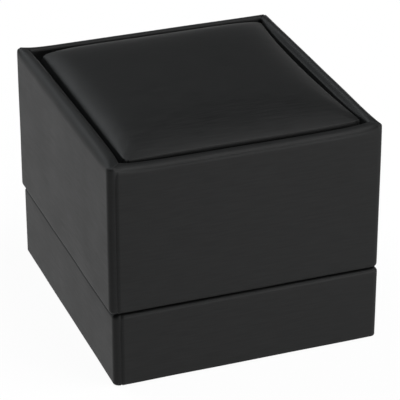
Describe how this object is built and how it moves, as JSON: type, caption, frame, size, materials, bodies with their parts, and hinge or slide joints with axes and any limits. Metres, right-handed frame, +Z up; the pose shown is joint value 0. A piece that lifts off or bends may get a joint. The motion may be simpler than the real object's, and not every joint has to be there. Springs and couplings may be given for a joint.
{
  "type": "ring display box",
  "caption": "Hinged ring box covered in black leatherette, with a padded top let into the lid, a collar and a slotted ring pad inside.",
  "frame": {"origin": "middle of the flat face that the box stands on", "axes": "+Z up, -Y towards the front that opens, +Y towards the hinge, +X to the right seen from the front"},
  "size_m": [0.056, 0.06, 0.0494],
  "materials": {
    "greyboard": "raw grey board, cut edges",
    "leatherette": "black satin leatherette paper with a fine brushed grain",
    "black_paper": "plain matt black paper",
    "white_card": "smooth white card",
    "suede_paper": "black flocked suede paper",
    "velvet": "black velvet over foam",
    "foam": "soft pale foam",
    "satin": "ivory satin",
    "hinge_steel": "stamped nickel-plated steel"
  },
  "bodies": {
    "base": {"base_floor_board": "greyboard", "base_front_board": "greyboard", "base_back_board": "greyboard", "base_left_board": "greyboard", "base_right_board": "greyboard", "base_wrap": "leatherette", "base_bottom_sheet": "black_paper", "collar_card": "white_card", "collar_suede": "suede_paper", "ring_pad_card": "white_card", "ring_pad_front": "velvet", "ring_pad_rear": "velvet", "hinge_base_leaf": "hinge_steel", "hinge_pin": "hinge_steel", "hinge_spring": "hinge_steel", "hinge_base_tacks": "hinge_steel"},
    "lid": {"lid_front_board": "greyboard", "lid_back_board": "greyboard", "lid_left_board": "greyboard", "lid_right_board": "greyboard", "lid_top_board": "greyboard", "lid_wrap": "leatherette", "cushion_card": "white_card", "cushion_foam": "foam", "cushion_cover": "leatherette", "lid_liner": "satin", "lid_pad_card": "white_card", "lid_pad": "satin", "hinge_lid_leaf": "hinge_steel", "hinge_lid_tacks": "hinge_steel"}
  },
  "joints": [
    {"name": "lid_hinge", "type": "hinge", "parent": "base", "child": "lid", "pos_m": [0, 0.02857, 0.0158], "axis": [-1, 0, 0], "range_deg": [0, 95], "deforming": ["hinge_spring"]}
  ]
}
